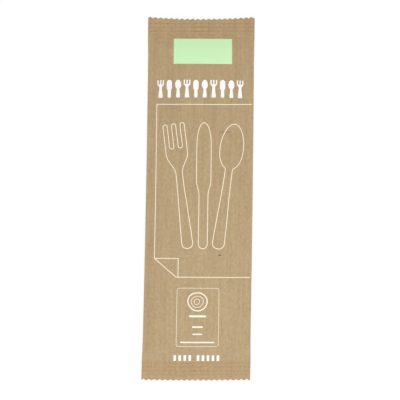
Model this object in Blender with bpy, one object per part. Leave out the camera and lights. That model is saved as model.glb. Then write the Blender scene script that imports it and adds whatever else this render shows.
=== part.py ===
"""Sealed kraft paper sachet with a wooden cutlery set inside, lying on its back.

One web of paper is folded round into a flat tube and closed along the back by a fin
seam, which is pressed flat. The cutlery goes in, and both ends are crimped shut and
cut off with a toothed knife. The sachet is closed all round, so it is one solid.
+Y runs to its top end, +Z out of its front, and the origin is under its middle, on
the surface that it lies on.
"""

import math

import bpy
import numpy as np

# Sizes are in millimetres, and the mesh is scaled to metres at the end.
METRES_PER_MM = 0.001

# The stack of cutlery, which lifts the paper into a flat-topped pillow
STACK_LENGTH = 160.0
STACK_WIDTH = 32.0
STACK_THICKNESS = 5.8
STACK_CROWN = 0.6  # the stack's middle stands this much above its sides

# The paper round it
PLY = 0.12  # thickness of one layer
SIDE_SLACK = 14.0  # paper from the stack's side to the folded edge
END_SLACK = 10.4  # paper from the stack's end to the crimped seal
SHOULDER_SOFTNESS = 0.5  # how far the rise rounds off at the stack's edges, 0 to 1
SIDE_BOW = 0.4  # the tube's middle lies this far to the right of its ends

# The seam along the back: two layers glued face to face and folded flat
FIN_WIDTH = 9.0
FIN_LAYERS = 2
FIN_EDGE = 0.05  # width of the step down at the fin's cut edge

# The crimped seal across each end
SEAL_LENGTH = 11.3
RIB_PITCH = 2.2
RIB_DEPTH = 0.36
FIN_BITE = 0.7  # the ribs are this share deeper where the fin adds its layers
TOOTH_PITCH = 3.0
TOOTH_DEPTH = 0.8
TOOTH_SHIFT = 1.15  # from the left fold to the top cut's first tooth tip
LAND = 0.2  # plain paper between the tooth roots and the first rib
TOP_CUT_BOW = 1.15  # the top cut dips this far inwards at its middle
BOTTOM_CUT_BOW = -0.3  # the bottom cut swells this far outwards at its middle
CUT_SKEW = 0.9  # jaws and knife sit askew: the right fold lies this much further up

# Puckers that run from each seal into the pillow
PUCKER_DEPTH = 0.3
PUCKER_PITCH = 11.0
PUCKER_REACH = 16.0

# How finely the pillow is divided along its length
BODY_ROWS = 32
ROW_CROWDING = 1.6  # above 1, rows crowd towards the seals

KRAFT_COLOUR = (0.49, 0.36, 0.21, 1.0)
KRAFT_ROUGHNESS = 0.85

FLAT_WIDTH = STACK_WIDTH + 2 * SIDE_SLACK
BODY_LENGTH = STACK_LENGTH + 2 * END_SLACK
PACK_LENGTH = BODY_LENGTH + 2 * SEAL_LENGTH
HALF_RISE = STACK_THICKNESS / 2
FIN_THICKNESS = FIN_LAYERS * PLY
MIDDLE_HEIGHT = FIN_THICKNESS + PLY + HALF_RISE  # of the side folds and the seals


def clear_scene():
    """Removes every object that is in the scene."""
    for found in list(bpy.data.objects):
        bpy.data.objects.remove(found)


def smooth_minimum(a, b, softness):
    """The smaller of a and b, with the corner where they cross rounded off."""
    overlap = np.maximum(softness - np.abs(a - b), 0.0) / softness
    return np.minimum(a, b) - overlap**2 * softness / 4


def rib_count():
    """As many ribs as fit between the tooth roots and the seal's inner edge."""
    deepest_cut = max(abs(TOP_CUT_BOW), abs(BOTTOM_CUT_BOW)) + TOOTH_DEPTH + LAND
    return max(1, int((SEAL_LENGTH - deepest_cut) / RIB_PITCH))


def column_places():
    """Places across the flat tube: both folds, the fin's edges, and each tooth's tip
    and root unless it all but meets one of those."""
    half, fin = FLAT_WIDTH / 2, FIN_WIDTH / 2
    edges = np.array([-half, -fin, fin, fin + FIN_EDGE, half])
    step = TOOTH_PITCH / 2
    teeth = np.arange(TOOTH_SHIFT % step, FLAT_WIDTH, step) - half
    apart = np.abs(teeth[:, None] - edges).min(axis=1) > FIN_EDGE
    return np.sort(np.concatenate([edges, teeth[apart]]))


def on_fin(across):
    return np.abs(across) <= FIN_WIDTH / 2


def cut_inset(across, bow):
    """How far the knife's line lies inside the end: a parabola from side to side."""
    share = (across / (FLAT_WIDTH / 2)) ** 2
    return bow * (1 - share) if bow > 0 else -bow * share


def tooth_inset(across, shift):
    """The knife's zigzag: 0 at a tooth's tip, TOOTH_DEPTH at its root."""
    phase = np.mod((across + FLAT_WIDTH / 2 - shift) / TOOTH_PITCH, 1.0)
    return TOOTH_DEPTH * (1 - np.abs(2 * phase - 1))


def rib_height(across, step):
    """The crimp's corrugation: grooves at odd steps and ridges at even ones."""
    if step in (0, 2 * rib_count()):
        return np.zeros_like(across)
    depth = RIB_DEPTH / 2 * (1 + FIN_BITE * on_fin(across))
    return (-1) ** step * depth


def seal_rows(across, bow, shift):
    """Rows of one seal from the cut inwards, as (distance from the end, rib height)."""
    cut = cut_inset(across, bow)
    flat = np.zeros_like(across)
    rows = [
        (cut + tooth_inset(across, shift), flat),
        (cut + TOOTH_DEPTH + LAND / 2, flat),
    ]
    for step in range(2 * rib_count(), -1, -1):
        distance = SEAL_LENGTH - step * RIB_PITCH / 2
        rows.append((np.full_like(across, distance), rib_height(across, step)))
    return rows


def body_rows(across):
    """Rows from next to a seal to just before the pillow's middle."""
    share = np.arange(1, BODY_ROWS // 2) / (BODY_ROWS // 2)
    depths = BODY_LENGTH / 2 * share**ROW_CROWDING
    flat = np.zeros_like(across)
    return [(np.full_like(across, SEAL_LENGTH + d), flat) for d in depths]


def lengthwise_rows(across):
    """Every row of the square tube, bottom to top: its y and rib height, in columns.

    One knife parts each pack from the next, so the bottom cut has its tips where the
    top cut has its roots.
    """
    end = PACK_LENGTH / 2
    bottom = seal_rows(across, BOTTOM_CUT_BOW, TOOTH_SHIFT + TOOTH_PITCH / 2)
    bottom += body_rows(across)
    top = seal_rows(across, TOP_CUT_BOW, TOOTH_SHIFT) + body_rows(across)
    middle = [(np.zeros_like(across), np.zeros_like(across))]
    rows = [(d - end, h) for d, h in bottom] + middle + [(end - d, h) for d, h in top[::-1]]
    return np.array([y for y, _ in rows]), np.array([h for _, h in rows])


def depth_into_body(y):
    """How far a place lies inside the nearer seal's inner edge, 0 within the seal."""
    return np.maximum(BODY_LENGTH / 2 - np.abs(y), 0.0)


def rise_share(across, y):
    """How far the paper has risen over the stack, from 0 at a fold or seal to 1."""
    from_side = (FLAT_WIDTH / 2 - np.abs(across)) / SIDE_SLACK
    from_seal = depth_into_body(y) / END_SLACK
    slope = smooth_minimum(from_side + 0 * y, from_seal, SHOULDER_SOFTNESS)
    lifted = smooth_minimum(slope, np.ones_like(slope), SHOULDER_SOFTNESS)
    return np.where(from_seal > 0, np.maximum(lifted, 0.0), 0.0)


def crown(across, share):
    """The front's gentle arch over the stack."""
    return STACK_CROWN * share * (1 - (across / (FLAT_WIDTH / 2)) ** 2)


def pucker(across, y, phase):
    """Waves from -1 to 1 across the paper, full by the seals, gone in the middle."""
    turns = 2 * math.pi * across / PUCKER_PITCH
    wave = 0.65 * np.cos(turns + phase) + 0.35 * np.cos(1.7 * turns - 2 * phase)
    return wave * np.exp(-depth_into_body(y) / PUCKER_REACH)


def folded_places(across, rise):
    """Each row's x: the paper keeps its width, so it draws in where it climbs."""
    run = np.sqrt(np.maximum(np.diff(across) ** 2 - np.diff(rise, axis=1) ** 2, 0.0))
    x = np.concatenate([np.zeros((len(run), 1)), np.cumsum(run, axis=1)], axis=1)
    return x - x[:, -1:] / 2


def bowed(x, y):
    """The tube's slight sideways arc: a parabola along its length."""
    return x + SIDE_BOW * (1 - (y / (PACK_LENGTH / 2)) ** 2)


def skewed(across, y):
    """The jaws' angle, taken up along the whole tube as a shear."""
    return y + CUT_SKEW * across / FLAT_WIDTH


def panels():
    """The front's and the back's points, as two grids of rows by columns by xyz."""
    across = column_places()
    y, ribs = lengthwise_rows(across)
    share = rise_share(across, y)
    x = bowed(folded_places(across, share * HALF_RISE), y)
    middle = MIDDLE_HEIGHT + ribs
    front_wave = PUCKER_DEPTH * share * pucker(across, y, 0.4)
    # What lies on the ground can't sag below it, so the back's waves only lift it.
    lift = np.where(on_fin(across), 0.0, (1 + pucker(across, y, 2.1)) / 2)
    fade = np.exp(-depth_into_body(y) / PUCKER_REACH)
    back_wave = PUCKER_DEPTH * share * lift * fade
    front = middle + PLY + share * HALF_RISE + crown(across, share) + front_wave
    back = middle - PLY - share * HALF_RISE + back_wave - FIN_THICKNESS * on_fin(across)
    y = skewed(across, y)
    return np.stack([x, y, front], axis=-1), np.stack([x, y, back], axis=-1)


def quads(first, second):
    """Faces between two equally long lines of vertex numbers."""
    return np.stack([first[:-1], first[1:], second[1:], second[:-1]], axis=-1)


def outline(grid):
    """The vertex numbers round a grid, counterclockwise and back to the first."""
    sides = (grid[0, :-1], grid[:-1, -1], grid[-1, :0:-1], grid[::-1, 0])
    return np.concatenate(sides)


def closed_skin(front, back):
    """Points and faces of the two panels, joined all round by the paper's edge."""
    rows, columns = front.shape[:2]
    upper = np.arange(rows * columns).reshape(rows, columns)
    lower = upper + rows * columns
    faces = [quads(outline(lower), outline(upper))]
    for row in range(rows - 1):
        faces.append(quads(upper[row], upper[row + 1]))
        faces.append(quads(lower[row + 1], lower[row]))
    points = np.concatenate([front.reshape(-1, 3), back.reshape(-1, 3)])
    return points, np.concatenate(faces)


def kraft_paper():
    material = bpy.data.materials.new("kraft_paper")
    material.use_nodes = True
    shader = material.node_tree.nodes["Principled BSDF"]
    shader.inputs["Base Color"].default_value = KRAFT_COLOUR
    shader.inputs["Roughness"].default_value = KRAFT_ROUGHNESS
    shader.inputs["Metallic"].default_value = 0.0
    return material


def build_sachet():
    points, faces = closed_skin(*panels())
    mesh = bpy.data.meshes.new("paper_sachet")
    mesh.from_pydata((points * METRES_PER_MM).tolist(), [], faces.tolist())
    mesh.materials.append(kraft_paper())
    mesh.shade_smooth()
    mesh.set_sharp_from_angle(angle=math.radians(60))
    sachet = bpy.data.objects.new("paper_sachet", mesh)
    bpy.context.scene.collection.objects.link(sachet)
    return sachet


clear_scene()
build_sachet()
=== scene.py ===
"""Looks of a sealed kraft paper sachet that holds a wooden cutlery set.

The sachet lies on its back with its printed front up. +Y runs to its top end, +X
across it and +Z out of its front. Sizes are in metres, as Blender's are.
"""

import math

import bpy
import numpy as np
from bpy.props import FloatProperty, FloatVectorProperty, IntProperty, PointerProperty
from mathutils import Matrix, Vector


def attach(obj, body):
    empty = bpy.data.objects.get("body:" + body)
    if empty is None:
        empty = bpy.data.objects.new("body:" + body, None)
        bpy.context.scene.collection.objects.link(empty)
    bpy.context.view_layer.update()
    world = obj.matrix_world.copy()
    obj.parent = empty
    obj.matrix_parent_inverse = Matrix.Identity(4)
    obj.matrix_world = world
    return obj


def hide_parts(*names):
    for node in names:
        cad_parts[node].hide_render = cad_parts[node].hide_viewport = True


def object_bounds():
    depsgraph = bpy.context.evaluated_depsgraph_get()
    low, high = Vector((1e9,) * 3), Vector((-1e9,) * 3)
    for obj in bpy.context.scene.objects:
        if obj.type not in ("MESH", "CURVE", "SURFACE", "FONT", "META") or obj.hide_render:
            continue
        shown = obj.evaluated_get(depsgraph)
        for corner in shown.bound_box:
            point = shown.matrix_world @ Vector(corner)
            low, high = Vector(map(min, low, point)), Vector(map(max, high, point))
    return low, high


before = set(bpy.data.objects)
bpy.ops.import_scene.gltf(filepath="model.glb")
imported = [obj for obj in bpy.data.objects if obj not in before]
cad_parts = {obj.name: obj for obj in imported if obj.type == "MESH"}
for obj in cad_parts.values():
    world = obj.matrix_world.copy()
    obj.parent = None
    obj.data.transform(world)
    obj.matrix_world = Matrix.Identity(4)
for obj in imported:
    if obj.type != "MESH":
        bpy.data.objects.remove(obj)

bl_info = {
    "name": "Paper Cutlery Sachet",
    "version": (1, 0, 0),
    "blender": (4, 5, 0),
    "location": "3D Viewport > Sidebar > Sachet",
    "description": "Builds a crimped kraft paper sachet with a plain print on its front",
    "category": "Add Mesh",
}

CAD_LOW, CAD_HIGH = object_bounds()
BODY = "root"
MM = 0.001


def length(name, description, millimetres):
    """A property that holds a length, with its default given in millimetres."""
    return FloatProperty(
        name=name, description=description, default=millimetres * MM, unit="LENGTH",
        precision=5,
    )


def colour(name, description, default):
    """A property that holds a colour, linear red, green and blue."""
    return FloatVectorProperty(
        name=name, description=description, default=default, subtype="COLOR",
        min=0.0, max=1.0,
    )


# Settings


class SachetSettings(bpy.types.PropertyGroup):
    """Sizes and colours of the folded and crimped paper."""

    flat_width: length("Flat width", "Width of the flattened tube of paper", 60.0)
    pack_length: length("Length", "From one end's tooth tips to the other's", 203.4)
    stack_thickness: length("Stack thickness", "Cutlery that lifts the paper", 5.8)
    stack_crown: length("Stack crown", "How much the stack's middle stands up", 0.6)
    ply: length("Ply", "Thickness of one layer of paper", 0.12)
    side_slack: length("Side slack", "Paper from the stack's side to the fold", 14.0)
    end_slack: length("End slack", "Paper from the stack's end to the seal", 10.4)
    fin_width: length("Fin width", "Width of the flattened seam along the back", 9.0)
    fin_edge: length("Fin edge", "Width of the step at the fin's cut edge", 0.05)
    seal_length: length("Seal length", "Crimped band across each end", 11.3)
    rib_pitch: length("Rib pitch", "From one crimped groove to the next", 2.2)
    rib_depth: length("Rib depth", "From a groove's floor to a ridge's top", 0.36)
    rib_count: IntProperty(
        name="Ribs", description="Grooves in each seal", default=4, min=1, max=12
    )
    fin_bite: FloatProperty(
        name="Fin bite", description="Extra depth of the ribs over the fin, as a share",
        default=0.7, min=0.0, max=2.0,
    )
    tooth_pitch: length("Tooth pitch", "From one tooth of the cut to the next", 3.0)
    tooth_depth: length("Tooth depth", "From a tooth's tip to its root", 0.8)
    tooth_shift: length("Tooth shift", "From the left fold to the top's first tip", 1.15)
    top_cut_bow: length("Top cut bow", "How far the top cut dips inwards", 1.15)
    bottom_cut_bow: length("Bottom cut bow", "How far the bottom cut swells out", 0.3)
    cut_skew: length("Cut skew", "How much further up the right fold lies", 0.9)
    side_bow: length("Side bow", "How far the middle lies to the right", 0.4)
    pucker_depth: length("Pucker depth", "Height of the folds beside each seal", 0.3)
    pucker_pitch: length("Pucker pitch", "From one such fold to the next", 11.0)
    pucker_reach: length("Pucker reach", "How far these folds run in", 16.0)
    slack_wave: length("Slack wave", "Slow waves over the whole front", 0.1)
    kraft_light: colour("Light kraft", "Paper between its fibres", (0.578, 0.416, 0.236))
    kraft_dark: colour("Dark kraft", "Paper along its fibres", (0.369, 0.255, 0.135))
    bark_colour: colour("Bark", "Fleck of bark in the paper", (0.14, 0.076, 0.034))
    # Painted shade of a small dent high on the front; the paper's mesh has no dent there.
    dent_shade_colour: colour("Streak", "Faint streak in the paper", (0.43, 0.31, 0.174))
    # Painted shade: this tint multiplies the seals' colour, a little over the whole seal and
    # most in the crimp's grooves.
    seal_shade_tint: colour("Pressed tint", "Darkens what the jaws press", (0.985, 0.95, 0.9))


class PrintSettings(bpy.types.PropertyGroup):
    """Sizes and colours of the print on the front."""

    ink_lift: length("Ink lift", "How far the ink stands on the paper", 0.02)
    line_width: length("Line width", "Width of the thin printed lines", 0.41)
    lean: FloatProperty(
        name="Lean", description="Slope of the print's uprights against the folds",
        default=0.002,
    )
    fall: FloatProperty(
        name="Fall", description="Slope of the print's rows against the seals",
        default=0.004,
    )
    panel_ink: colour("Panel ink", "Pale mint-green field", (0.65, 0.93, 0.525))
    line_ink: colour("Line ink", "White of the lines and figures", (0.99, 0.98, 0.95))
    thin_tint: colour("Thin tint", "Paper's tone through a thin line", (1.0, 0.88, 0.7))


class StageSettings(bpy.types.PropertyGroup):
    """Floor, lamps and camera."""

    floor_size: FloatProperty(
        name="Floor size", description="Side of the square floor", default=3.0,
        unit="LENGTH",
    )
    floor_colour: colour("Floor colour", "Pale floor", (0.9, 0.9, 0.9))
    key_power: FloatProperty(
        name="Key power", description="Watts of the nearer lamp", default=0.76
    )
    fill_power: FloatProperty(
        name="Fill power", description="Watts of the lamp that lifts the shade", default=0.71
    )
    world_level: FloatProperty(
        name="World level", description="Strength of the light all round", default=0.66
    )
    lens: FloatProperty(
        name="Lens", description="Focal length in millimetres", default=85.0
    )


# The paper's shape

SHOULDER_SOFTNESS = 0.5  # rounds off the rise at the stack's edges, 0 to 1


def smooth_minimum(a, b, softness):
    """The smaller of a and b, with the corner where they cross rounded off."""
    overlap = np.maximum(softness - np.abs(a - b), 0.0) / softness
    return np.minimum(a, b) - overlap**2 * softness / 4


def ease(share):
    """Runs smoothly from 0 to 1 as share does: 3 s^2 - 2 s^3."""
    s = np.clip(share, 0.0, 1.0)
    return s * s * (3 - 2 * s)


def body_length(s):
    """From one seal's inner edge to the other's."""
    return s.pack_length - 2 * s.seal_length


def sheet_columns(s, cells_per_flank=3):
    """Places across the flat tube: its folds, the fin's edges, and even steps that
    meet each tooth's tip and root, unless one all but meets a fold or an edge."""
    half, fin = s.flat_width / 2, s.fin_width / 2
    edges = np.array([-half, -fin - s.fin_edge, -fin, fin, fin + s.fin_edge, half])
    step = s.tooth_pitch / 2 / cells_per_flank
    even = np.arange(s.tooth_shift % step, s.flat_width, step) - half
    apart = np.abs(even[:, None] - edges).min(axis=1) > s.fin_edge
    return np.sort(np.concatenate([edges, even[apart]]))


def tooth_inset(u, s, shift):
    """The knife's zigzag: 0 at a tooth's tip and tooth_depth at its root."""
    phase = np.mod((u + s.flat_width / 2 - shift) / s.tooth_pitch, 1.0)
    return s.tooth_depth * (1 - np.abs(2 * phase - 1))


def cut_line(u, s, top):
    """The cut's distance from the pack's end: a shallow parabola plus the zigzag.

    One knife parts each pack from the next, so the bottom has its tips where the top
    has its roots.
    """
    share = (2 * u / s.flat_width) ** 2
    bow = s.top_cut_bow * (1 - share) if top else s.bottom_cut_bow * share
    return bow + tooth_inset(u, s, s.tooth_shift + (0 if top else s.tooth_pitch / 2))


def seal_rows(u, s, top, rows_per_rib=10):
    """Rows of one seal from its cut inwards, each as its distance from the end."""
    cut = cut_line(u, s, top)
    crimp_start = s.seal_length - s.rib_count * s.rib_pitch
    way = 0.6  # where a row lies between the cut and the first rib, as a share
    rows = [cut, cut * (1 - way) + crimp_start * way]
    steps = np.linspace(crimp_start, s.seal_length, s.rib_count * rows_per_rib + 1)
    return rows + [np.full_like(u, d) for d in steps]


def body_rows(s, count=250, crowding=1.25):
    """Distances from a seal's inner edge to its fellow's, crowded by the seals."""
    share = np.linspace(-1, 1, count + 1)[1:-1]
    eased = np.sign(share) * (1 - (1 - np.abs(share)) ** crowding)
    return body_length(s) / 2 * eased


def sheet_rows(u, s):
    """The y of every row of the sheet, from the bottom cut to the top cut."""
    end = s.pack_length / 2
    bottom = [d - end for d in seal_rows(u, s, top=False)]
    top = [end - d for d in seal_rows(u, s, top=True)]
    body = [np.full_like(u, y) for y in body_rows(s)]
    return np.array(bottom + body + top[::-1])


def crimp(u, y, s):
    """The jaws' wave from -1 to 1, a cosine along the seal, and how fully they bite: 1
    within the ribs' band, eased to 0 at the band's ends, and more over the fin."""
    outwards = np.abs(y) - body_length(s) / 2
    crimped = s.rib_count * s.rib_pitch
    bite = ease(2 * outwards / s.rib_pitch) * ease(2 * (crimped - outwards) / s.rib_pitch)
    fade = 1.6 * MM  # width over which the deeper bite ends, centred on the fin's edge
    over_fin = ease(0.5 + (s.fin_width / 2 - np.abs(u)) / fade)
    wave = np.cos(2 * math.pi * outwards / s.rib_pitch)
    return wave, bite * (1 + s.fin_bite * over_fin)


def rib_height(u, y, s):
    """Half the rib depth, times the jaws' wave and how fully they bite."""
    wave, bite = crimp(u, y, s)
    return s.rib_depth / 2 * bite * wave


def painted_crimp_shade(u, y, s):
    """How much painted shade darkens the seal: half on a ridge and fully in a groove."""
    wave, bite = crimp(u, y, s)
    in_seal = ease((np.abs(y) - body_length(s) / 2) / MM)
    return in_seal * (0.5 + 0.25 * bite * (1 - wave))


def into_body(y, s):
    """How far a place lies inside the nearer seal's inner edge, 0 in the seal."""
    return np.maximum(body_length(s) / 2 - np.abs(y), 0.0)


def rise_share(u, y, s):
    """How far the paper has risen over the stack, from 0 at a fold or seal to 1."""
    from_side = (s.flat_width / 2 - np.abs(u)) / s.side_slack
    from_seal = into_body(y, s) / s.end_slack
    slope = smooth_minimum(from_side + 0 * y, from_seal, SHOULDER_SOFTNESS)
    lifted = smooth_minimum(slope, np.ones_like(slope), SHOULDER_SOFTNESS)
    return np.where(from_seal > 0, np.maximum(lifted, 0.0), 0.0)


def pucker(u, y, s, phase):
    """Waves across the paper, full by the seals and gone in the middle.

    Two cosines across the paper, the second 1.7 times as close as the first, fade as
    e to the minus distance over pucker_reach. A third, 3.1 times as close, dies out
    within a few millimetres of the seal.
    """
    turns = 2 * math.pi * u / s.pucker_pitch
    wave = 0.65 * np.cos(turns + phase) + 0.35 * np.cos(1.7 * turns - 2 * phase)
    fine = 0.3 * np.cos(3.1 * turns + 3 * phase) * np.exp(-into_body(y, s) / (5 * MM))
    return (wave + fine) * np.exp(-into_body(y, s) / s.pucker_reach)


def slack(u, y):
    """Slow waves, from about -1 to 1: three sines that run askew over the paper, with
    periods in metres that don't divide into each other, so that no part is like the
    next."""
    a = np.sin(2 * math.pi * (u / 0.047 + y / 0.163) + 0.7)
    b = np.sin(2 * math.pi * (y / 0.071 - u / 0.091) + 2.1)
    c = np.sin(2 * math.pi * (u / 0.023 + y / 0.210) + 4.0)
    return 0.45 * a + 0.35 * b + 0.2 * c


def drawn_in(u, rise):
    """Each row's x: the paper keeps its width, so it draws in where it climbs."""
    run = np.sqrt(np.maximum(np.diff(u) ** 2 - np.diff(rise, axis=1) ** 2, 0.0))
    x = np.concatenate([np.zeros((len(run), 1)), np.cumsum(run, axis=1)], axis=1)
    return x - x[:, -1:] / 2


def sheet_surfaces(s):
    """Grids of points of the front and the back: x, y and z of every row and column.

    Between them runs the height of the folds, with the ribs. The front stands above it
    by a ply, the climb, which is a share of half the stack, a crown that is a parabola
    across, and the waves. The back lies a ply and the same climb below it, lifted by
    its own waves, and two plies lower along the fin.

    The tube arcs a little to the right in its middle, as a parabola along y, and is
    sheared along y by the angle at which the jaws seal and cut it.
    """
    u = sheet_columns(s)
    y = sheet_rows(u, s)
    share = rise_share(u, y, s)
    x = drawn_in(u, share * s.stack_thickness / 2)
    x = x + s.side_bow * (1 - (2 * y / s.pack_length) ** 2)
    fin = 2 * s.ply
    middle = fin + s.ply + s.stack_thickness / 2 + rib_height(u, y, s)
    lifted = s.ply + share * s.stack_thickness / 2
    crown = s.stack_crown * share * (1 - (2 * u / s.flat_width) ** 2)
    waves = s.pucker_depth * pucker(u, y, s, 0.4) + s.slack_wave * slack(u, y)
    on_fin = np.abs(u) <= s.fin_width / 2
    sag = np.where(on_fin, 0.0, (1 + pucker(u, y, s, 2.1)) / 2)
    sag = s.pucker_depth * sag * np.exp(-into_body(y, s) / s.pucker_reach)
    front = middle + lifted + crown + share * waves
    back = middle - lifted + share * sag - fin * on_fin
    y = y + s.cut_skew * u / s.flat_width
    return np.stack([x, y, front], axis=-1), np.stack([x, y, back], axis=-1)


class Front:
    """The front's surface, to place print on.

    The print sits a little askew on the sheet: each place moves left by the print's
    lean as it climbs, and down by its fall as it goes right.
    """

    def __init__(self, s, ink):
        self.u = sheet_columns(s)
        rows = sheet_rows(self.u, s)
        straight = np.ptp(rows, axis=1) < 1e-9  # all but the rows that follow a cut
        self.v = rows[straight, 0]
        self.grid = sheet_surfaces(s)[0][straight]
        self.ink = ink

    def at(self, across, along, lift):
        """Point on the paper, blended from the four grid points round that place."""
        u = across - self.ink.lean * along
        v = along - self.ink.fall * across
        column = np.clip(np.searchsorted(self.u, u) - 1, 0, len(self.u) - 2)
        row = np.clip(np.searchsorted(self.v, v) - 1, 0, len(self.v) - 2)
        a = (u - self.u[column]) / (self.u[column + 1] - self.u[column])
        b = (v - self.v[row]) / (self.v[row + 1] - self.v[row])
        a, b = a[..., None], b[..., None]
        near = self.grid[row, column] * (1 - a) + self.grid[row, column + 1] * a
        far = self.grid[row + 1, column] * (1 - a) + self.grid[row + 1, column + 1] * a
        return near * (1 - b) + far * b + np.array([0.0, 0.0, lift])


# Meshes

BLUNT = 0.02  # a round end keeps this share of its half width, so that no cell closes up


def point_values(mesh, name, values):
    """Stores one number for each point, which a material reads by that name."""
    attribute = mesh.attributes.new(name, "FLOAT", "POINT")
    attribute.data.foreach_set("value", np.ravel(values))


def new_piece(name, points, faces, material):
    """Makes a smooth mesh object that sits at the origin and rides on the body."""
    mesh = bpy.data.meshes.new(name)
    mesh.from_pydata(points.tolist(), [], faces.tolist())
    mesh.materials.append(material)
    mesh.shade_smooth()
    mesh.set_sharp_from_angle(angle=math.radians(50))
    piece = bpy.data.objects.new(name, mesh)
    bpy.context.scene.collection.objects.link(piece)
    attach(piece, BODY)
    return piece


def quads(first, second):
    """Faces between two equally long lines of vertex numbers."""
    return np.stack([first[:-1], first[1:], second[1:], second[:-1]], axis=-1)


def rim(grid):
    """The vertex numbers round a grid, counterclockwise and back to the first."""
    sides = (grid[0, :-1], grid[:-1, -1], grid[-1, :0:-1], grid[::-1, 0])
    return np.concatenate(sides)


def closed_sheet(front, back):
    """Points and faces of a front and a back grid, joined all round by the edge."""
    rows, columns = front.shape[:2]
    upper = np.arange(rows * columns).reshape(rows, columns)
    lower = upper + rows * columns
    cells = [quads(rim(lower), rim(upper))]
    for row in range(rows - 1):
        cells.append(quads(upper[row], upper[row + 1]))
        cells.append(quads(lower[row + 1], lower[row]))
    points = np.concatenate([front.reshape(-1, 3), back.reshape(-1, 3)])
    return points, np.concatenate(cells)


def cells_of(rows, columns, keep):
    """Quads of a grid of vertices: all, or where keep is given those that it marks."""
    index = np.arange(rows * columns).reshape(rows, columns)
    cells = np.stack(
        [index[:-1, :-1], index[:-1, 1:], index[1:, 1:], index[1:, :-1]], axis=-1
    )
    return (cells if keep is None else cells[keep]).reshape(-1, 4)


def ink_film(front, patches, lift):
    """Closed thin film over each patch: its top stands on the paper, its foot in it.

    A patch is (u, v, keep): two grids of flat places, and which cells hold ink. Grid
    points at one place are one vertex, so a line that ends where it starts is a ring.
    """
    points, faces, start = [], [], 0
    for u, v, keep in patches:
        grid = np.stack([u.ravel(), v.ravel()], axis=-1)
        places, welded = np.unique(grid, axis=0, return_inverse=True)
        cells = welded.reshape(-1)[cells_of(*u.shape, keep)]
        used, packed = np.unique(cells, return_inverse=True)
        cells = packed.reshape(-1, 4)
        flat_u, flat_v = places[used].T
        a, b, c = places[used][cells[0, :3]]
        if np.cross(b - a, c - b) < 0:
            cells = cells[:, ::-1]
        edges = np.stack([cells, np.roll(cells, -1, axis=1)], axis=-1).reshape(-1, 2)
        key = np.sort(edges, axis=1) @ [len(used), 1]
        _, back_to, count = np.unique(key, return_inverse=True, return_counts=True)
        open_edges = edges[count[back_to] == 1]
        low = len(used)
        foot, head = open_edges.T
        walls = np.stack([head, foot, foot + low, head + low], axis=-1)
        points += [front.at(flat_u, flat_v, lift), front.at(flat_u, flat_v, -2 * lift)]
        faces.append(np.concatenate([cells, cells[:, ::-1] + low, walls]) + start)
        start += 2 * low
    return np.concatenate(points), np.concatenate(faces)


def line_through(corners, step=0.6 * MM):
    """Places along straight lines through the corners, no further apart than step."""
    corners = np.asarray(corners, float)
    parts = []
    for a, b in zip(corners[:-1], corners[1:]):
        count = max(1, math.ceil(np.linalg.norm(b - a) / step))
        parts.append(a + (b - a) * np.arange(count)[:, None] / count)
    return np.concatenate([*parts, corners[-1:]])


def left_normals(a, b):
    """Unit vectors to the left of the ways from places a to places b."""
    d = (b - a) / np.linalg.norm(b - a, axis=1, keepdims=True)
    return np.stack([-d[:, 1], d[:, 0]], axis=-1)


def ribbon(path, width, closed=False):
    """Patch of a line of that width: the path is carried to both sides by its mitre."""
    path = np.asarray(path, float)
    if closed:
        before, after = np.roll(path, 1, axis=0), np.roll(path, -1, axis=0)
    else:
        before = np.concatenate([2 * path[:1] - path[1:2], path[:-1]])
        after = np.concatenate([path[1:], 2 * path[-1:] - path[-2:-1]])
    n1, n2 = left_normals(before, path), left_normals(path, after)
    sharpest = 0.3  # keeps the mitre of a sharp corner short
    mitre = (n1 + n2) / (1 + np.sum(n1 * n2, axis=1, keepdims=True)).clip(sharpest)
    sides = np.stack([path - mitre * width / 2, path + mitre * width / 2], axis=1)
    if closed:
        sides = np.concatenate([sides, sides[:1]])
    return sides[:, :, 0], sides[:, :, 1], None


def rounded_box(centre, size, radius, count=8):
    """Closed path of a rectangle with round corners."""
    half = np.array(size) / 2 - radius
    angle = np.linspace(0, math.pi / 2, count)
    path = []
    for turn, corner in enumerate(((1, 1), (-1, 1), (-1, -1), (1, -1))):
        a = angle + turn * math.pi / 2
        arc = np.stack([np.cos(a), np.sin(a)], axis=-1) * radius
        path.append(np.array(centre) + half * corner + arc)
    path = np.concatenate(path)
    return line_through(np.concatenate([path, path[:1]]))[:-1]


def pill(centre, size, count=9, step=1.2 * MM):
    """Patch of a bar with half-round ends: its half height follows a circle there."""
    width, height = size
    r = height / 2
    arc = r - r * np.cos(np.linspace(0, math.pi / 2, count))
    middle = np.linspace(r, width - r, max(3, int(width / step)))[1:-1]
    along = np.concatenate([arc, middle, width - arc[::-1]])
    from_end = np.minimum(np.minimum(along, width - along), r)
    half = np.maximum(np.sqrt(np.maximum(r**2 - (r - from_end) ** 2, 0.0)), BLUNT * r)
    side = np.linspace(-1, 1, 5)[:, None]
    return centre[0] - width / 2 + along + 0 * side, centre[1] + side * half, None


# Cutlery figures: each is a half width along its length, from 0 to 1


def crowded_shares(count):
    """Shares of the length, crowded towards both ends: half of 1 minus a cosine."""
    return 0.5 - 0.5 * np.cos(np.linspace(0, math.pi, count))


def handle_half_width(t, end, neck):
    """Handle: a quarter ellipse at its end, then an eased change from the end's half
    width to the neck's."""
    round_end, neck_place = 0.04, 0.6
    rounding = np.sqrt(np.clip(1 - (1 - np.clip(t / round_end, 0, 1)) ** 2, 0, 1))
    return rounding * (end + (neck - end) * ease(t / neck_place))


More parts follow.
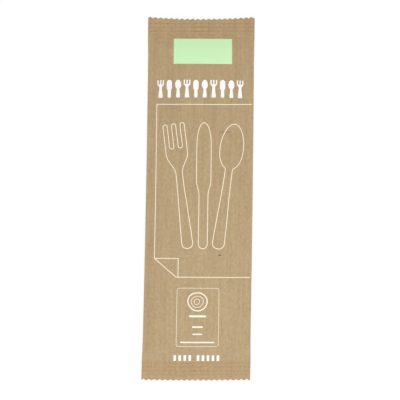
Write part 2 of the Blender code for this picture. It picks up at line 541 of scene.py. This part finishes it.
def spoon_half_width(t, bowl, bold=1.0, bowl_foot=0.64):
    """Spoon: a tapering handle that flows into an egg-shaped bowl.

    The bowl is an ellipse along its run to the power 0.85, so that it is widest nearer
    the handle. Below its middle, the greater of bowl and handle counts, with the
    corner between them rounded off.
    """
    s = np.clip((t - bowl_foot) / (1 - bowl_foot), 0, 1)
    egg = bowl * np.sqrt(np.clip(1 - (2 * s**0.85 - 1) ** 2, 0, 1))
    handle = handle_half_width(t, 0.5 * bold * bowl, 0.3 * bold * bowl)
    return np.where(s > 0.5, egg, -smooth_minimum(-handle, -egg, 0.35 * bowl))


def knife_half_width(t, blade):
    """Knife: a plain handle, and a blade that swells and closes to a round point.

    Over the tip's share s the blade narrows as the root of 1 minus s to the power 2.4.
    """
    grip, blade_foot, tip_foot = 0.62, 0.42, 0.80
    swell = blade * (grip + (1 - grip) * ease((t - blade_foot) / 0.12))
    s = np.clip((t - tip_foot) / 0.20, 0, 1)
    tip = np.sqrt(np.clip(1 - s**2.4, 0, 1))
    handle = handle_half_width(t, grip * blade, grip * blade)
    return np.where(t < blade_foot, handle, swell * tip)


def fork_half_width(t, head, bold=1.0):
    """Fork up to its tines: a tapering handle that opens into a square head."""
    opened = ease((t - 0.60) / 0.16)
    handle = handle_half_width(t, 0.5 * bold * head, 0.3 * bold * head)
    return handle * (1 - opened) + head * opened


def place(along, across, origin, size, lean):
    """Flat places of a figure: along its length from its foot, leaning to the right."""
    u = across * math.cos(lean) + along * size * math.sin(lean)
    v = along * size * math.cos(lean) - across * math.sin(lean)
    return origin[0] + u, origin[1] + v


def both_sides(t, half):
    """Closed path up a figure's right side and down its left."""
    along = np.concatenate([t, t[::-1]])
    across = np.concatenate([half, -half[::-1]])
    return along, across


def even_path(points, step):
    """A closed path's places, spaced evenly along it."""
    ring = np.concatenate([points, points[:1]])
    run = np.concatenate([[0], np.cumsum(np.linalg.norm(np.diff(ring, axis=0), axis=1))])
    count = max(24, round(run[-1] / step))
    wanted = np.arange(count) * run[-1] / count
    return np.stack([np.interp(wanted, run, ring[:, i]) for i in (0, 1)], axis=-1)


def fork_path(head, size, tines=3, root=0.80):
    """Closed path of a fork: its handle and head, then round tines and round gaps."""
    t = np.linspace(0, root, 90)
    half = fork_half_width(t, head)
    slots = 2 * tines - 1
    width = 2 * head / slots
    arc = np.linspace(0, math.pi, 13)
    along, across = [t], [half]
    for slot in range(slots):
        centre = head - width * (slot + 0.5)
        tip = slot % 2 == 0
        level = 1 - width / 2 / size if tip else root + width / 2 / size
        bulge = np.sin(arc) * width / 2 / size
        along.append(level + bulge if tip else level - bulge)
        across.append(centre + np.cos(arc) * width / 2)
    along.append(t[::-1])
    across.append(-half[::-1])
    return np.concatenate(along), np.concatenate(across)


def figure_outline(kind, origin, size, half, lean, step=0.5 * MM):
    """Closed path of one cutlery figure on the flat paper."""
    if kind == "fork":
        along, across = fork_path(half, size)
    else:
        t = crowded_shares(160)
        shape = spoon_half_width if kind == "spoon" else knife_half_width
        along, across = both_sides(t, shape(t, half))
    u, v = place(along, across, origin, size, lean)
    return even_path(np.stack([u, v], axis=-1), step)


def solid_figure(kind, origin, size, half, bold=1.3):
    """Patch of one filled cutlery figure, upright. A fork's or a spoon's handle is made
    stouter by the factor bold."""
    rows = crowded_shares(40)
    sides = np.linspace(-1, 1, 6)
    keep = None
    if kind == "fork":
        root = 0.76
        rows = np.concatenate([rows[rows < root], np.linspace(root, 1, 6)])
        keep = np.ones((len(rows) - 1, len(sides) - 1), bool)
        keep[rows[:-1] >= root, 1::2] = False
        width = fork_half_width(rows, half, bold)
    elif kind == "spoon":
        width = spoon_half_width(rows, half, bold, bowl_foot=0.5)
    else:
        width = knife_half_width(rows, half)
    width = np.maximum(width, BLUNT * half)
    u = origin[0] + width[:, None] * sides
    v = origin[1] + rows[:, None] * size + 0 * sides
    return u, v, keep


# Materials

PAPER_ROUGHNESS = 0.84
INK_ROUGHNESS = 0.62
ROUGHNESS_SPREAD = 0.08  # how much rougher it is between the fibres than along them
SPECULAR = 0.25
RELIEF_DEPTH = 0.1 * MM


def link(tree, source, target):
    """Joins an output socket to an input socket."""
    tree.links.new(source, target)


def math_node(tree, operation, *values, clamp=False):
    """A Math node. Each value is a number or a socket that feeds it."""
    node = tree.nodes.new("ShaderNodeMath")
    node.operation = operation
    node.use_clamp = clamp
    for socket, value in zip(node.inputs, values):
        if isinstance(value, (int, float)):
            socket.default_value = value
        else:
            link(tree, value, socket)
    return node.outputs[0]


def stretched_noise(tree, vector, scale, detail, roughness=0.5):
    """Noise whose grain is longer the smaller its scale along that axis, per metre."""
    mapping = tree.nodes.new("ShaderNodeMapping")
    mapping.inputs["Scale"].default_value = scale
    link(tree, vector, mapping.inputs["Vector"])
    noise = tree.nodes.new("ShaderNodeTexNoise")
    noise.inputs["Scale"].default_value = 1.0
    noise.inputs["Detail"].default_value = detail
    noise.inputs["Roughness"].default_value = roughness
    link(tree, mapping.outputs["Vector"], noise.inputs["Vector"])
    return noise.outputs["Fac"]


def fibre_group():
    """Paper fibres: tone, dark flecks and height, from a place in metres."""
    name = "paper_fibres"
    if name in bpy.data.node_groups:
        return bpy.data.node_groups[name]
    group = bpy.data.node_groups.new(name, "ShaderNodeTree")
    group.interface.new_socket("Place", in_out="INPUT", socket_type="NodeSocketVector")
    for output in ("Tone", "Fleck", "Height"):
        group.interface.new_socket(output, in_out="OUTPUT", socket_type="NodeSocketFloat")
    start = group.nodes.new("NodeGroupInput").outputs["Place"]
    end = group.nodes.new("NodeGroupOutput")
    streaks = stretched_noise(group, start, (620, 28, 120), detail=3.0)
    fibres = stretched_noise(group, start, (3400, 520, 900), detail=3.0, roughness=0.6)
    mottle = stretched_noise(group, start, (1000, 620, 900), detail=2.0, roughness=0.6)
    cloud = stretched_noise(group, start, (190, 120, 150), detail=3.0)
    specks = stretched_noise(group, start, (1500, 420, 900), detail=1.0)
    parts = ((streaks, 0.65), (fibres, 0.35), (mottle, 1.05), (cloud, 0.35))
    tone = 0.5 - 0.5 * sum(weight for _, weight in parts)
    for noise, weight in parts:
        tone = math_node(group, "MULTIPLY_ADD", noise, weight, tone)
    tone = math_node(group, "ADD", tone, 0.0, clamp=True)
    steepness, offset = 14.0, -10.2  # a fleck starts at a noise of 0.73, full at 0.8
    fleck = math_node(group, "MULTIPLY_ADD", specks, steepness, offset, clamp=True)
    slow_height = math_node(group, "MULTIPLY", streaks, 0.4)
    height = math_node(group, "MULTIPLY_ADD", fibres, 0.6, slow_height)
    link(group, tone, end.inputs["Tone"])
    link(group, fleck, end.inputs["Fleck"])
    link(group, height, end.inputs["Height"])
    return group


def mixed(tree, factor, first, second, blend="MIX"):
    """A colour mix by a factor from a socket. Each colour is a triple or a socket."""
    node = tree.nodes.new("ShaderNodeMix")
    node.data_type = "RGBA"
    node.blend_type = blend
    # A Mix node's colour sockets come after those for numbers and for vectors.
    factor_in, a, b = node.inputs[0], node.inputs[6], node.inputs[7]
    link(tree, factor, factor_in)
    for socket, value in ((a, first), (b, second)):
        if isinstance(value, bpy.types.NodeSocket):
            link(tree, value, socket)
        else:
            socket.default_value = (*value, 1.0)
    return node.outputs[2]


def fibrous_material(name, colours, fleck_strength, bump, roughness):
    """A matt material that shows the paper's fibres, flecks and fine relief.

    Its colours are those between the fibres, along them and of the flecks, and a tint
    by which they are multiplied where the mesh's tinting value is 1.
    """
    # On the paper the tint is painted shade on the seals; on ink it is the paper's tone
    # through thin lines.
    light, dark, fleck_colour, tint = (tuple(c) for c in colours)
    material = bpy.data.materials.new(name)
    material.use_nodes = True
    tree = material.node_tree
    shader = tree.nodes["Principled BSDF"]
    place_in = tree.nodes.new("ShaderNodeTexCoord").outputs["Object"]
    fibres = tree.nodes.new("ShaderNodeGroup")
    fibres.node_tree = fibre_group()
    link(tree, place_in, fibres.inputs["Place"])
    base = mixed(tree, fibres.outputs["Tone"], dark, light)
    fleck = math_node(tree, "MULTIPLY", fibres.outputs["Fleck"], fleck_strength)
    base = mixed(tree, fleck, base, fleck_colour)
    tinting = tree.nodes.new("ShaderNodeAttribute")
    tinting.attribute_name = "tinting"
    base = mixed(tree, tinting.outputs["Fac"], base, tint, blend="MULTIPLY")
    link(tree, base, shader.inputs["Base Color"])
    smoothest = roughness - ROUGHNESS_SPREAD / 2
    tone = fibres.outputs["Tone"]
    rough = math_node(tree, "MULTIPLY_ADD", tone, ROUGHNESS_SPREAD, smoothest)
    link(tree, rough, shader.inputs["Roughness"])
    relief = tree.nodes.new("ShaderNodeBump")
    relief.inputs["Strength"].default_value = bump
    relief.inputs["Distance"].default_value = RELIEF_DEPTH
    link(tree, fibres.outputs["Height"], relief.inputs["Height"])
    link(tree, relief.outputs["Normal"], shader.inputs["Normal"])
    shader.inputs["Specular IOR Level"].default_value = SPECULAR
    return material


def ink_material(name, ink, tint):
    """Ink on paper: nearly flat colour, a little thinner along the fibres."""
    found = bpy.data.materials.get(name)
    if found:
        return found
    thin = tuple(0.98 * c for c in ink)
    return fibrous_material(
        name, (ink, thin, thin, tint), fleck_strength=0.3, bump=0.08,
        roughness=INK_ROUGHNESS,
    )


# Operators, one for each piece or group of like pieces


class SachetOperator:
    """What the piece operators share."""

    bl_options = {"REGISTER", "UNDO"}

    def execute(self, context):
        scene = context.scene
        self.build(scene.sachet_paper, scene.sachet_print)
        return {"FINISHED"}

    @staticmethod
    def printed(name, paper, ink, patches, slot, colour_of_ink, thinness=0.0):
        """A printed piece on the sachet's front. The thinner its lines, the more the
        paper's tone comes through."""
        points, faces = ink_film(Front(paper, ink), patches, ink.ink_lift)
        material = ink_material(slot, tuple(colour_of_ink), ink.thin_tint)
        piece = new_piece(name, points, faces, material)
        point_values(piece.data, "tinting", np.full(len(points), thinness))


class SACHET_OT_paper(SachetOperator, bpy.types.Operator):
    """Folded and crimped kraft paper round the cutlery"""

    bl_idname = "sachet.paper"
    bl_label = "Paper Sachet"

    def build(self, paper, ink):
        points, faces = closed_sheet(*sheet_surfaces(paper))
        fleck = (0.2, 0.13, 0.07)
        # The last colour is the tint of the painted shade on the seals.
        colours = (paper.kraft_light, paper.kraft_dark, fleck, paper.seal_shade_tint)
        material = fibrous_material(
            "kraft_paper", colours, fleck_strength=0.5, bump=0.35,
            roughness=PAPER_ROUGHNESS,
        )
        sachet = new_piece("kraft_sachet", points, faces, material)
        u = sheet_columns(paper)
        # Painted shade over the seals, deepest in the grooves, which the material reads as
        # tinting.
        crimp_shade_share = painted_crimp_shade(u, sheet_rows(u, paper), paper)
        point_values(sachet.data, "tinting", [crimp_shade_share, crimp_shade_share])
        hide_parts("paper_sachet")


class SACHET_OT_marks(SachetOperator, bpy.types.Operator):
    """Two marks on the paper: a dark fleck of bark low down, and high up a faint darker
    streak of painted shade for a small dent
    """

    bl_idname = "sachet.paper_marks"
    bl_label = "Paper Marks"

    def build(self, paper, ink):
        marks = (
            ("bark_fleck", paper.bark_colour, (11.75, -32.5), (1.5, 0.62)),
            # The second mark is painted shade: a darker streak where a small dent would be
            # in shade.
            ("dent_shade_streak", paper.dent_shade_colour, (14.0, 35.85), (6.6, 0.9)),
        )
        for name, tone, centre, size in marks:
            shape = pill(np.array(centre) * MM, np.array(size) * MM)
            points, faces = ink_film(Front(paper, ink), [shape], ink.ink_lift / 2)
            light, dark = tuple(tone), tuple(0.65 * c for c in tone)
            material = fibrous_material(
                name, (light, dark, dark, light), fleck_strength=0.0, bump=0.3,
                roughness=PAPER_ROUGHNESS,
            )
            mark = new_piece(name, points, faces, material)


class SACHET_OT_panel(SachetOperator, bpy.types.Operator):
    """Plain mint-green field near the top end"""

    bl_idname = "sachet.panel_field"
    bl_label = "Mint Panel"

    def build(self, paper, ink):
        left, right, low, high = -15.2, 17.5, 74.1, 88.9
        u = np.linspace(left, right, 55) * MM
        v = np.linspace(low, high, 25)[:, None] * MM
        field = (u + 0 * v, v + 0 * u, None)
        self.printed("mint_panel", paper, ink, [field], "green_ink", ink.panel_ink)


class SACHET_OT_figures(SachetOperator, bpy.types.Operator):
    """Row of small solid forks, knives and spoons"""

    bl_idname = "sachet.figure_row"
    bl_label = "Figure Row"

    def build(self, paper, ink):
        kinds = ("fork", "knife", "spoon") * 3 + ("fork",)
        half = {"fork": 1.9, "knife": 1.5, "spoon": 1.7}
        foot, size = 55.1 * MM, 10.0 * MM
        places = np.linspace(-22.4, 22.2, len(kinds)) * MM
        patches = [
            solid_figure(kind, (u, foot), size, half[kind] * MM)
            for kind, u in zip(kinds, places)
        ]
        self.printed("figure_row", paper, ink, patches, "white_ink", ink.line_ink)


class SACHET_OT_frame(SachetOperator, bpy.types.Operator):
    """Thin line along the top, left and bottom, with one corner turned over"""

    bl_idname = "sachet.frame_line"
    bl_label = "Frame Line"

    def build(self, paper, ink):
        left, right, top, low = -24.45, 29.1, 51.28, -44.7
        foot, fold = -12.1, (-11.1, -34.4)
        # The top line bends up at its ends, so that it looks straight over the crown.
        ends = [(right, top + 0.66), (22, top + 0.36), (14, top), (-16, top)]
        outer = [*ends, (left, top + 0.3), (left, fold[1]), (foot, low), (right, low)]
        corner = [(left + 0.2, fold[1]), fold, (fold[0], low + 0.2)]
        patches = [
            ribbon(line_through(np.array(path) * MM), ink.line_width)
            for path in (outer, corner)
        ]
        self.printed(
            "frame_line", paper, ink, patches, "white_ink", ink.line_ink, thinness=1.0
        )


class SACHET_OT_drawing(SachetOperator, bpy.types.Operator):
    """Fork, knife and spoon in thin outline, spread like a fan"""

    bl_idname = "sachet.cutlery_drawing"
    bl_label = "Cutlery Drawing"

    def build(self, paper, ink):
        fan = (
            ("fork", -5.9, 6.0, -0.13),
            ("knife", 2.3, 4.0, 0.0),
            ("spoon", 10.5, 6.6, 0.13),
        )
        low, size = -29 * MM, 70 * MM
        patches = []
        for kind, foot, half, lean in fan:
            outline = figure_outline(kind, (foot * MM, low), size, half * MM, lean)
            patches.append(ribbon(outline, ink.line_width, closed=True))
        self.printed(
            "cutlery_drawing", paper, ink, patches, "white_ink", ink.line_ink,
            thinness=1.0,
        )


class SACHET_OT_label(SachetOperator, bpy.types.Operator):
    """Rounded box with a log's growth rings and plain bars"""

    bl_idname = "sachet.ring_label"
    bl_label = "Ring Label"

    def build(self, paper, ink):
        line = ink.line_width * 0.54
        middle = 0.15
        box = rounded_box((middle * MM, -66.7 * MM), (23.1 * MM, 32.0 * MM), 1.2 * MM)
        patches = [ribbon(box, line, closed=True)]
        angle = np.linspace(0, 2 * math.pi, 97)[:-1]
        circle = np.stack([np.cos(angle), np.sin(angle)], axis=-1)
        rings = ((1.5, 1.3), (3.2, 1.3), (5.1, 2.8))
        for number, (radius, boldness) in enumerate(rings):
            wobble = 1 + 0.04 * np.sin(2 * angle + number) + 0.02 * np.sin(3 * angle)
            centre = np.array([middle - 0.5 + 0.15 * number, -58.1]) * MM
            ring = radius * MM * wobble[:, None] * circle + centre
            patches.append(ribbon(ring, line * boldness, closed=True))
        bars = ((-66.1, 9.6, 1.1), (-72.0, 6.0, 0.9), (-75.9, 5.4, 0.7), (-80.4, 18.6, 0.75))
        for v, width, height in bars:
            patches.append(pill((middle * MM, v * MM), (width * MM, height * MM)))
        self.printed(
            "ring_label", paper, ink, patches, "white_ink", ink.line_ink, thinness=0.8
        )


class SACHET_OT_blocks(SachetOperator, bpy.types.Operator):
    """Two groups of small upright blocks under the label"""

    bl_idname = "sachet.block_row"
    bl_label = "Block Row"

    def build(self, paper, ink):
        pitch, width, low, high = 2.75, 1.4, -90.8, -87.6
        groups = ((-12.7, 4), (0.1, 5))
        patches = []
        for start, count in groups:
            for left in (start + pitch * i for i in range(count)):
                u = np.linspace(left, left + width, 4) * MM
                v = np.linspace(low, high, 5)[:, None] * MM
                patches.append((u + 0 * v, v + 0 * u, None))
        self.printed(
            "block_row", paper, ink, patches, "white_ink", ink.line_ink, thinness=0.4
        )


class SACHET_OT_stage(bpy.types.Operator):
    """Pale floor, soft lamps, pale world and the camera"""

    bl_idname = "sachet.stage"
    bl_label = "Stage"

    def execute(self, context):
        stage = context.scene.sachet_stage
        pale_floor(stage)
        soft_lamps(stage)
        pale_world(context.scene, stage)
        camera_over_pack(context.scene, stage)
        context.scene.view_settings.view_transform = "Standard"
        return {"FINISHED"}


# Stage

FLOOR_GAP = 0.05 * MM  # from the part's lowest point down to the floor
FLOOR_GLOW = 1.03  # strength of the white that the floor shows
GLOW_SHARE = 0.88  # of the seen floor, and the rest is its real shade
CAMERA_PLACE = (-0.0001, -0.03255, 0.52865)
CAMERA_TURN = (3.344, -0.153, 0.898)  # degrees about x, y and z
SENSOR_WIDTH = 36.0


def seen_rays(tree):
    """1 for camera, glossy and transmission rays, else 0."""
    path = tree.nodes.new("ShaderNodeLightPath")
    total = math_node(
        tree, "ADD", path.outputs["Is Camera Ray"], path.outputs["Is Glossy Ray"]
    )
    return math_node(tree, "ADD", total, path.outputs["Is Transmission Ray"], clamp=True)


def pale_floor(stage):
    """Floor whose seen colour is nearly all white glow, with a little real shade."""
    half = stage.floor_size / 2
    mesh = bpy.data.meshes.new("floor")
    level = CAD_LOW.z - FLOOR_GAP
    corners = [(x * half, y * half, level) for x, y in ((-1, -1), (1, -1), (1, 1), (-1, 1))]
    mesh.from_pydata(corners, [], [(0, 1, 2, 3)])
    material = bpy.data.materials.new("pale_floor")
    material.use_nodes = True
    tree = material.node_tree
    shader = tree.nodes["Principled BSDF"]
    output = tree.nodes["Material Output"]
    shader.inputs["Base Color"].default_value = (*stage.floor_colour, 1.0)
    shader.inputs["Roughness"].default_value = 0.9
    glow = tree.nodes.new("ShaderNodeEmission")
    glow.inputs["Strength"].default_value = FLOOR_GLOW
    mix = tree.nodes.new("ShaderNodeMixShader")
    share = math_node(tree, "MULTIPLY", seen_rays(tree), GLOW_SHARE)
    link(tree, share, mix.inputs["Fac"])
    link(tree, shader.outputs["BSDF"], mix.inputs[1])
    link(tree, glow.outputs["Emission"], mix.inputs[2])
    link(tree, mix.outputs["Shader"], output.inputs["Surface"])
    mesh.materials.append(material)
    floor = bpy.data.objects.new("floor", mesh)
    bpy.context.scene.collection.objects.link(floor)


def soft_lamps(stage):
    """Two square lamps that look at the sachet's middle, cool at its foot, warm above."""
    for name, power, size, tint, spot in (
        ("key_lamp", stage.key_power, 0.3, (0.8, 0.9, 1.03), Vector((0.035, -0.17, 0.36))),
        ("fill_lamp", stage.fill_power, 0.8, (1.0, 0.8, 0.5), Vector((0.3, 0.4, 0.7))),
    ):
        light = bpy.data.lights.new(name, "AREA")
        light.shape = "SQUARE"
        light.size = size
        light.energy = power
        light.color = tint
        lamp = bpy.data.objects.new(name, light)
        lamp.location = spot
        lamp.rotation_mode = "QUATERNION"
        lamp.rotation_quaternion = (-spot).to_track_quat("-Z", "Y")
        bpy.context.scene.collection.objects.link(lamp)


def pale_world(scene, stage):
    """World that is white where it is seen and gives an even light."""
    world = bpy.data.worlds.new("pale_world")
    world.use_nodes = True
    tree = world.node_tree
    background = tree.nodes["Background"]
    background.inputs["Color"].default_value = (1, 1, 1, 1)
    seen = seen_rays(tree)
    level = stage.world_level
    strength = math_node(tree, "MULTIPLY_ADD", seen, 1 - level, level)
    link(tree, strength, background.inputs["Strength"])
    scene.world = world


def camera_over_pack(scene, stage):
    """Camera over the sachet, as the photograph's: nearly straight down, from its foot."""
    data = bpy.data.cameras.new("camera")
    data.lens = stage.lens
    data.sensor_width = SENSOR_WIDTH
    data.clip_start = 0.01
    camera = bpy.data.objects.new("camera", data)
    camera.location = CAMERA_PLACE
    camera.rotation_euler = [math.radians(a) for a in CAMERA_TURN]
    scene.collection.objects.link(camera)
    scene.camera = camera


class SACHET_PT_panel(bpy.types.Panel):
    """Sidebar panel with one button for each operator"""

    bl_idname = "SACHET_PT_panel"
    bl_label = "Paper Cutlery Sachet"
    bl_space_type = "VIEW_3D"
    bl_region_type = "UI"
    bl_category = "Sachet"

    def draw(self, context):
        for operator in OPERATORS:
            self.layout.operator(operator.bl_idname)


SETTINGS = {
    "sachet_paper": SachetSettings,
    "sachet_print": PrintSettings,
    "sachet_stage": StageSettings,
}
OPERATORS = (
    SACHET_OT_paper,
    SACHET_OT_marks,
    SACHET_OT_panel,
    SACHET_OT_figures,
    SACHET_OT_frame,
    SACHET_OT_drawing,
    SACHET_OT_label,
    SACHET_OT_blocks,
    SACHET_OT_stage,
)
CLASSES = (*SETTINGS.values(), *OPERATORS, SACHET_PT_panel)


def register():
    for cls in CLASSES:
        bpy.utils.register_class(cls)
    for name, cls in SETTINGS.items():
        setattr(bpy.types.Scene, name, PointerProperty(type=cls))


def unregister():
    for name in SETTINGS:
        delattr(bpy.types.Scene, name)
    for cls in reversed(CLASSES):
        bpy.utils.unregister_class(cls)


def main():
    """Builds every piece and the stage."""
    register()
    for operator in OPERATORS:
        group, name = operator.bl_idname.split(".")
        getattr(getattr(bpy.ops, group), name)()


if __name__ == "__main__":
    main()
